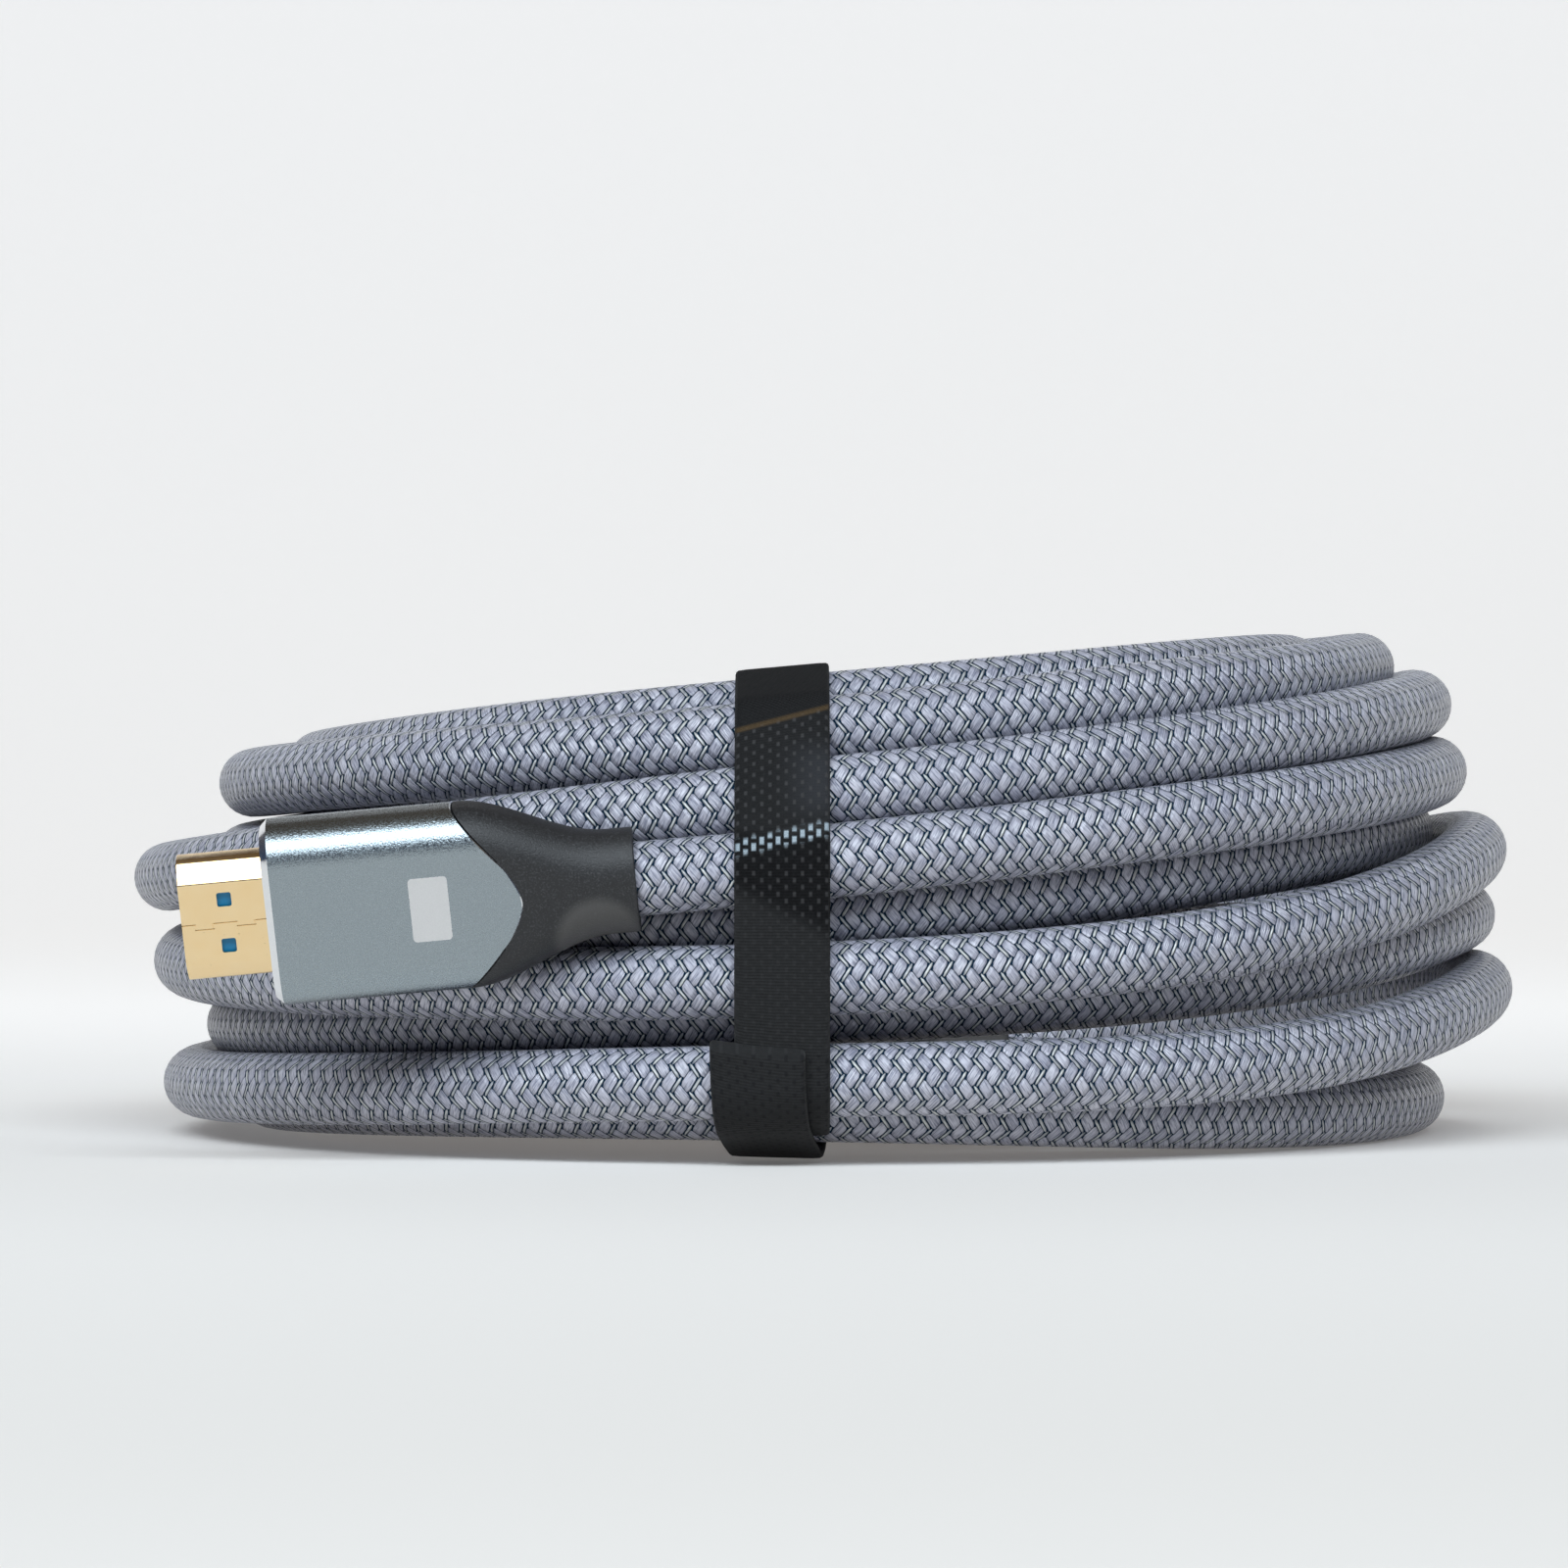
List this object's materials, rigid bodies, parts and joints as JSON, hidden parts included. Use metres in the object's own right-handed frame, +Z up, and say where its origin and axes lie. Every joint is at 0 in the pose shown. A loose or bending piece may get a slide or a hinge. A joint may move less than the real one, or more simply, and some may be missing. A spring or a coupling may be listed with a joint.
{
  "type": "hdmi cable",
  "caption": "Braided video cable wound into a round coil, held by a woven hook-and-loop strap, with a metal plug on each end.",
  "frame": {"origin": "bottom middle of the whole object's box, on the floor under the coil", "axes": "+Z up; -Y towards the side with the strap and the front plug; the front plug points towards -X, its nose dipping slightly"},
  "size_m": [0.1658, 0.1672, 0.06],
  "materials": {
    "cable_braid": "lavender-grey braided sleeve with pale strands",
    "strap_webbing": "black woven hook-and-loop webbing",
    "housing_aluminium": "gunmetal grey satin anodised, polished front chamfer",
    "relief_plastic": "black, fine grained",
    "shell_gold": "gold plated, smooth",
    "insert_plastic": "blue moulded insulator"
  },
  "bodies": {
    "root": {"cable_coil": "cable_braid", "cable_lead_a": "cable_braid", "cable_lead_b": "cable_braid", "strap": "strap_webbing", "plug_a_housing": "housing_aluminium", "plug_a_strain_relief": "relief_plastic", "plug_a_shell": "shell_gold", "plug_a_insert": "insert_plastic", "plug_b_housing": "housing_aluminium", "plug_b_strain_relief": "relief_plastic", "plug_b_shell": "shell_gold", "plug_b_insert": "insert_plastic"}
  },
  "joints": []
}
